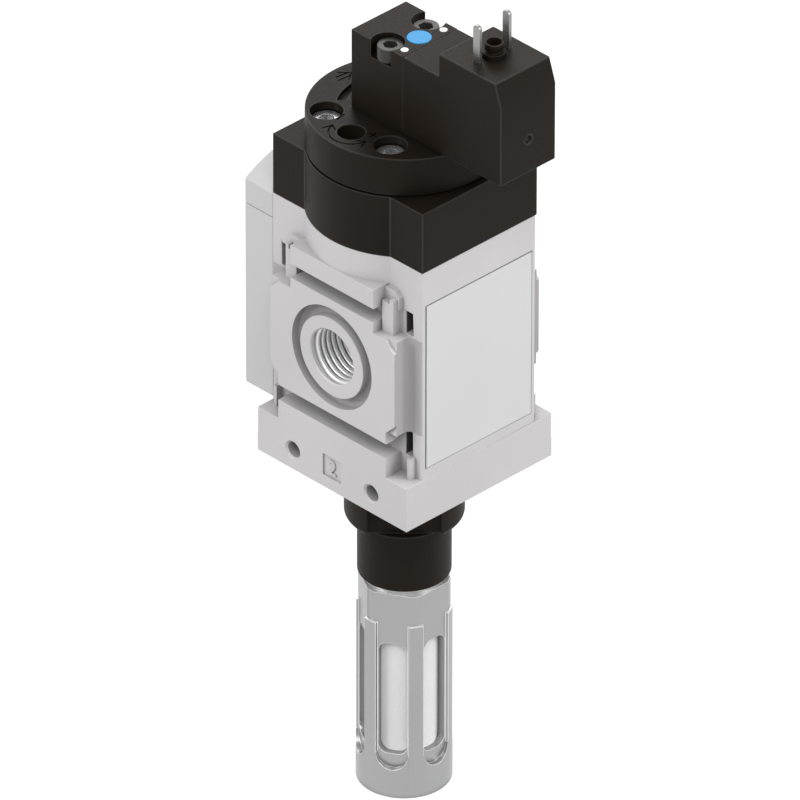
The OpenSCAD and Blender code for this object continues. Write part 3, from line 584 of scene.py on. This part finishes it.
def roundLongEdges(obj, rule):
    # the long outer edges of the casting are rounded, and the short ones stay as they are
    def outside(spot):
        return (outwards(spot) > rule["sideX"] or abs(spot.y / mm) > rule["frontY"] or
                spot.z / mm < rule["belowZ"])

    def underneath(spot):
        return spot.z / mm < rule["belowZ"] and math.hypot(outwards(spot), spot.y / mm) < rule["undersideR"]

    editAll("EDGE")
    bpy.ops.mesh.select_all(action="DESELECT")
    bpy.ops.mesh.edges_select_sharp(sharpness=math.radians(rule["sharpness"]))
    leaveEdit()
    spots = obj.data.vertices
    chosen = []
    for edge in obj.data.edges:
        a, b = (spots[i].co for i in edge.vertices)
        isLong = (a - b).length / mm > rule["shortest"]
        if edge.select and isLong and outside(a) and outside(b) and not (underneath(a) and underneath(b)):
            chosen.append(edge.index)
    pickEdges(obj, lambda a, b: False)
    leaveEdit()
    for number in chosen:
        edge = obj.data.edges[number]
        edge.select = True
        for i in edge.vertices:
            obj.data.vertices[i].select = True
    bpy.ops.object.mode_set(mode="EDIT")
    bpy.ops.mesh.bevel(offset=rule["width"] * mm, segments=rule["segments"], affect="EDGES",
                       clamp_overlap=False)
    leaveEdit()
    print("rounded long edges", len(chosen))


def onPortFace(spot, depth):
    # whether a point lies at this depth below the nearer port face
    return abs(portX - outwards(spot) - depth) < fits


def roundGrooveFloor(obj, groove):
    # the ring groove has a hollow floor
    def onRing(spot, radius):
        return onPortFace(spot, groove["depth"]) and abs(math.hypot(spot.y, spot.z) / mm - radius) < fits

    rings = (groove["innerR"], groove["outerR"])
    pickEdges(obj, lambda a, b: any(onRing(a, r) and onRing(b, r) for r in rings))
    bpy.ops.mesh.bevel(offset=groove["radius"] * mm, segments=groove["segments"], affect="EDGES")
    leaveEdit()


def sinkHoleRims(obj, rim):
    # the small holes of the flange are countersunk
    def onRim(spot):
        fromHole = math.hypot(abs(spot.y) / mm - holeY, spot.z / mm - holeZ)
        return onPortFace(spot, 0) and abs(fromHole - rim["holeR"]) < fits

    pickEdges(obj, lambda a, b: onRim(a) and onRim(b))
    bpy.ops.mesh.bevel(offset=rim["wide"] * mm, segments=1, affect="EDGES")
    leaveEdit()


def paintLedgeHighlights(obj, ledge):
    # the upward ledges above the windows of the cage get a painted highlight, the piece's second material
    for face in obj.data.polygons:
        if face.normal.z > ledge["slope"] and face.center.z / mm > ledge["aboveZ"]:
            face.material_index = 1


def splitSlotWalls(obj, slot):
    # the inner wall of each corner slot runs on outside it, and gets an edge at the slot's mouth
    for side in (-1, 1):
        pickFaces(obj, lambda c, n: abs(n.y) > 0.99 and abs(abs(c.y) / mm - slot["innerY"]) < fits)
        mouth = place(side * slot["mouthX"], 0, 0)
        bpy.ops.mesh.bisect(plane_co=mouth, plane_no=(1, 0, 0), threshold=cutGap)
        leaveEdit()


def givePortFinishesAndShade(obj, bore, slot, flank):
    # the port bores are bright metal, and the deep corner slots are painted dark inside, as shade
    # the step beside each port plate gets a darker copy of the cast metal, painted shade, which runs just
    # onto the rounded front edge
    inBore, slotShade, stepShade = (len(obj.data.materials) + n for n in range(3))
    for finish in ("machinedMetal", "darkPlasticAndSlotShade", "castMetalPaintedShade"):
        obj.data.materials.append(materials[finish])
    spots = obj.data.vertices
    for face in obj.data.polygons:
        corners = [spots[i].co for i in face.vertices]
        fromAxis = max(math.hypot(c.y, c.z) for c in corners) / mm
        outX = max(outwards(c) for c in corners)
        outY = [abs(c.y) / mm for c in corners]
        outZ = max(abs(c.z) for c in corners) / mm
        middleY = abs(face.center.y) / mm
        if fromAxis < bore["wallR"] + fits and outwards(face.center) > bore["innerX"]:
            face.material_index = inBore
        if outX < slot["mouthX"] + fits and slot["innerY"] - fits < middleY < slot["outerY"] + fits:
            face.material_index = slotShade
        beside = min(outY) > flank["plateY"] - fits and max(outY) < flank["edgeY"]
        onFlank = flank["innerX"] - flank["ontoEdge"] < outX < portX + fits
        if beside and onFlank and outZ < flank["reach"] + fits:
            face.material_index = stepShade


def splitAtPlane(obj, axis, value, ceiling=math.inf):
    # a seam across the piece, up to a ceiling, which the clean-up of flat faces leaves in place
    normal = planeNormals[axis]
    pickFaces(obj, lambda c, n: c.z / mm < ceiling)
    bpy.ops.mesh.bisect(plane_co=place(*(value * part for part in normal)), plane_no=normal, threshold=cutGap)
    bpy.ops.mesh.mark_seam()


def dressed(nodeName, width):
    # a copy of a CAD piece with rounded edges, which stands for that piece
    obj = bpy.data.objects.new(nodeName + "_dressed", nodes[nodeName].data.copy())
    bpy.context.collection.objects.link(obj)
    takeUp(obj)
    if obj.data.has_custom_normals:
        bpy.ops.mesh.customdata_custom_splitnormals_clear()
    editAll()
    bpy.ops.mesh.remove_doubles(threshold=weldGap)
    for plane in splitPlanes.get(nodeName, ()):
        splitAtPlane(obj, *plane)
    bpy.ops.mesh.select_all(action="SELECT")
    bpy.ops.mesh.dissolve_limited(angle_limit=math.radians(flatAngle), delimit={"SEAM"})
    leaveEdit()
    if nodeName == "housing":
        engrave(obj, makeFlankCutters(flankStep))
        roundFrontEdges(obj, frontEdge)
        roundGrooveFloor(obj, grooveFloor)
        sinkHoleRims(obj, sinkRim)
        roundLongEdges(obj, longEdge)
    # a finish with a painted highlight gets it as a second material, for the rounded edges
    highlightFinish = highlightFinishes.get(obj.data.materials[0].name)
    if highlightFinish:
        obj.data.materials.append(materials[highlightFinish])
    if width:
        addRounding(obj, width, highlightSlot=1 if highlightFinish else -1)
    if nodeName == "pilot_base":
        engrave(obj, makeDiscCutters(discMarks))
    if nodeName == "silencer_cage":
        paintLedgeHighlights(obj, ledgeHighlight)
    if nodeName == "housing":
        splitSlotWalls(obj, cornerSlot)
        givePortFinishesAndShade(obj, portBore, cornerSlot, flankStep)
    takeUp(obj)
    bpy.ops.object.shade_smooth_by_angle(angle=math.radians(smoothAngle))
    obj.modifiers.new("flatFaces", "WEIGHTED_NORMAL").keep_sharp = True
    applyModifier(obj, "flatFaces")
    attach(obj, bodyOf[nodeName])
    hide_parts(nodeName)
    print("dressed", nodeName, len(obj.data.polygons))
    return obj


dressed("housing", 0)
for nodeName, width in roundings.items():
    dressed(nodeName, width)

print("stage: port threads")

portThread = {
    "crestR": 5.78, "rootR": 6.56, "pitch": 1.337, "turns": 6, "stepsPerTurn": 56,
    "crestW": 0.74, "rootW": 1.22, "crestSoft": 0.12, "flankLean": 0.06, "firstDepth": 0.6,
}
portCollar = {
    # outside, face, chamfer and first crest, as distance out of the face and radius
    "outline": ((0.03, 8.72), (0.03, 6.2), (-0.26, 5.95), (-0.5, 5.95), (-0.7, 6.54), (-0.005, 6.54),
                (0.004, 6.6), (0.004, 8.72)),
    "steps": 120,
}


def outlineFace(points):
    # a flat closed outline in the XZ plane: X is along the axis, Z is the radius
    deselectAll()
    bpy.ops.mesh.primitive_circle_add(vertices=len(points), radius=mm, fill_type="NOTHING")
    ring = bpy.context.object
    for vertex, (along, radius) in zip(ring.data.vertices, points):
        vertex.co = (along * mm, 0, radius * mm)
    return ring


def makePortThread(thread):
    # the section of one ridge is run along a screw line about the port axis
    half, wide = thread["crestW"] / 2, thread["rootW"] / 2
    crest, root = thread["crestR"], thread["rootR"]
    soft, lean = thread["crestSoft"], thread["flankLean"]
    ridge = outlineFace(((-wide, root), (-half - lean, crest + soft), (-half + soft, crest),
                         (half - soft, crest), (half + lean, crest + soft), (wide, root)))
    screw = ridge.modifiers.new("screwLine", "SCREW")
    screw.axis = "X"
    screw.angle = math.tau
    screw.screw_offset = thread["pitch"] * mm
    screw.iterations = thread["turns"]
    screw.steps = thread["stepsPerTurn"]
    screw.render_steps = thread["stepsPerTurn"]
    screw.use_smooth_shade = True
    applyModifier(ridge, "screwLine")
    editAll()
    bpy.ops.mesh.fill_holes(sides=0)
    leaveEdit()
    closeUp()
    ridge.location = place(-portX + thread["firstDepth"] + wide, 0, 0)
    return finishPiece(ridge, "portThread2", "machinedMetal", "valve", angle=50.0)


def makePortCollar(rim):
    # the bright chamfer at the port's mouth, turned about the port axis
    collar = outlineFace([(-out, radius) for out, radius in rim["outline"]])
    editAll()
    bpy.ops.mesh.spin(steps=rim["steps"], angle=math.tau, center=(0, 0, 0), axis=(1, 0, 0))
    leaveEdit()
    closeUp()
    collar.location = place(-portX, 0, 0)
    return finishPiece(collar, "portCollar2", "castMetal", "valve", angle=30.0)


turnedCopy(makePortThread(portThread), "portThread1")
turnedCopy(makePortCollar(portCollar), "portCollar1")

print("stage: port numbers")

portNumber = {"size": 4.7, "thick": 0.37, "centreZ": -25.97, "floorX": 19.6}


def makePortNumber(sign, side, look):
    # a raised figure on the floor of the small square recess
    deselectAll()
    bpy.ops.object.text_add(location=(0, 0, 0))
    text = bpy.context.object.data
    text.body = sign
    text.size = look["size"] * mm
    text.extrude = look["thick"] / 2 * mm
    text.align_x = "CENTER"
    text.align_y = "CENTER"
    bpy.ops.object.convert(target="MESH")
    figure = bpy.context.object
    closeUp()
    corners = [v.co for v in figure.data.vertices]
    midX = (min(c.x for c in corners) + max(c.x for c in corners)) / 2
    midY = (min(c.y for c in corners) + max(c.y for c in corners)) / 2
    editAll()
    bpy.ops.transform.translate(value=(-midX, -midY, 0))
    leaveEdit()
    # the text's right goes to -Y on the side of port 2 and to +Y on the side of port 1
    figure.rotation_euler = (math.radians(90), 0, math.radians(side * 90))
    figure.location = place(side * (look["floorX"] + look["thick"] / 2), 0, look["centreZ"])
    return finishPiece(figure, "portNumber" + sign, "castMetal", "valve", angle=30.0)


makePortNumber("2", -1, portNumber)
makePortNumber("1", 1, portNumber)

print("stage: floor")

# the valve stands upright on its silencer
floorLook = {"z": cadBox[0][2] / mm, "side": 6000.0, "diffuse": 0.34, "glow": 0.74}


def pathIsSeen(tree):
    # one for what the camera, a gloss or a clear material sees
    path = tree.nodes.new("ShaderNodeLightPath")
    first = tree.nodes.new("ShaderNodeMath")
    first.operation = "MAXIMUM"
    tree.links.new(path.outputs["Is Camera Ray"], first.inputs[0])
    tree.links.new(path.outputs["Is Glossy Ray"], first.inputs[1])
    both = tree.nodes.new("ShaderNodeMath")
    both.operation = "MAXIMUM"
    tree.links.new(first.outputs["Value"], both.inputs[0])
    tree.links.new(path.outputs["Is Transmission Ray"], both.inputs[1])
    return both.outputs["Value"]


def makeFloor(look):
    # a matte floor that glows for the camera, so that it blends with the pale background
    deselectAll()
    bpy.ops.mesh.primitive_plane_add(size=look["side"] * mm, location=place(0, 0, look["z"]))
    floor = bpy.context.object
    bpy.ops.object.transform_apply(location=True, rotation=True, scale=True)
    floor.name = "floor"
    mat = bpy.data.materials.new("paleFloor")
    mat.use_nodes = True
    tree = mat.node_tree
    tree.nodes.clear()
    out = tree.nodes.new("ShaderNodeOutputMaterial")
    matte = tree.nodes.new("ShaderNodeBsdfDiffuse")
    matte.inputs["Color"].default_value = (look["diffuse"],) * 3 + (1,)
    glow = tree.nodes.new("ShaderNodeEmission")
    strength = tree.nodes.new("ShaderNodeMath")
    strength.operation = "MULTIPLY"
    strength.inputs[1].default_value = look["glow"]
    tree.links.new(pathIsSeen(tree), strength.inputs[0])
    tree.links.new(strength.outputs["Value"], glow.inputs["Strength"])
    both = tree.nodes.new("ShaderNodeAddShader")
    tree.links.new(matte.outputs["BSDF"], both.inputs[0])
    tree.links.new(glow.outputs["Emission"], both.inputs[1])
    tree.links.new(both.outputs["Shader"], out.inputs["Surface"])
    floor.data.materials.append(mat)
    return floor


makeFloor(floorLook)

print("stage: camera and light")

cameraSet = {
    "lens": 917.8, "sensor": 36, "azimuth": -44.37, "elevation": 32.76, "roll": 0.07,
    "target": (0, 0, 16.04), "right": -0.897, "up": -29.42, "away": 4000, "clipEnd": 30,
}


def makeCamera(view):
    # right, up and away are millimetres from the target, across the picture and out of it
    data = bpy.data.cameras.new("cameraData")
    data.lens = view["lens"]
    data.sensor_width = view["sensor"]
    data.clip_end = view["clipEnd"]
    camera = bpy.data.objects.new("camera", data)
    bpy.context.collection.objects.link(camera)
    azimuth, elevation, roll = (math.radians(view[k]) for k in ("azimuth", "elevation", "roll"))
    right = Vector((math.cos(azimuth), math.sin(azimuth), 0))
    flat = math.cos(elevation)
    back = Vector((math.sin(azimuth) * flat, -math.cos(azimuth) * flat, math.sin(elevation)))
    up = back.cross(right)
    spot = place(*view["target"]) + (view["right"] * right + view["up"] * up + view["away"] * back) * mm
    basis = Matrix((right, up, back)).transposed().to_4x4()
    camera.matrix_world = Matrix.Translation(spot) @ basis @ Matrix.Rotation(roll, 4, "Z")
    bpy.context.scene.camera = camera


makeCamera(cameraSet)

# spots are in metres in the frame, and powers in watts
lights = {
    "keyLight": {"spot": (-0.75, -0.75, 1.20), "size": 0.9, "power": 8.0},
    "leftLight": {"spot": (-1.30, 0.50, 0.90), "size": 0.9, "power": 11.0},
    "frontLight": {"spot": (0.50, -1.30, 0.90), "size": 0.9, "power": 13.0},
    "rearLight": {"spot": (0.9, 1.0, 0.9), "size": 0.8, "power": 6.0},
}


def softLight(name, look):
    data = bpy.data.lights.new(name, "AREA")
    data.shape = "DISK"
    data.size = look["size"]
    data.energy = look["power"]
    lamp = bpy.data.objects.new(name, data)
    bpy.context.collection.objects.link(lamp)
    lamp.location = look["spot"]
    aim = place(0, 0, 0) - lamp.location
    lamp.rotation_euler = aim.to_track_quat("-Z", "Y").to_euler()


for name, look in lights.items():
    softLight(name, look)

studioWorld = {"lit": 0.45, "seen": 1.0}


def makeWorld(look):
    # the background is brighter to the camera than the light it gives
    world = bpy.data.worlds.new("studioWorld")
    bpy.context.scene.world = world
    world.use_nodes = True
    tree = world.node_tree
    tree.nodes.clear()
    out = tree.nodes.new("ShaderNodeOutputWorld")
    mixer = tree.nodes.new("ShaderNodeMixShader")
    tree.links.new(pathIsSeen(tree), mixer.inputs["Fac"])
    for number, strength in ((1, look["lit"]), (2, look["seen"])):
        sky = tree.nodes.new("ShaderNodeBackground")
        sky.inputs["Color"].default_value = (1, 1, 1, 1)
        sky.inputs["Strength"].default_value = strength
        tree.links.new(sky.outputs["Background"], mixer.inputs[number])
    tree.links.new(mixer.outputs["Shader"], out.inputs["Surface"])


makeWorld(studioWorld)
bpy.context.scene.view_settings.view_transform = "Standard"
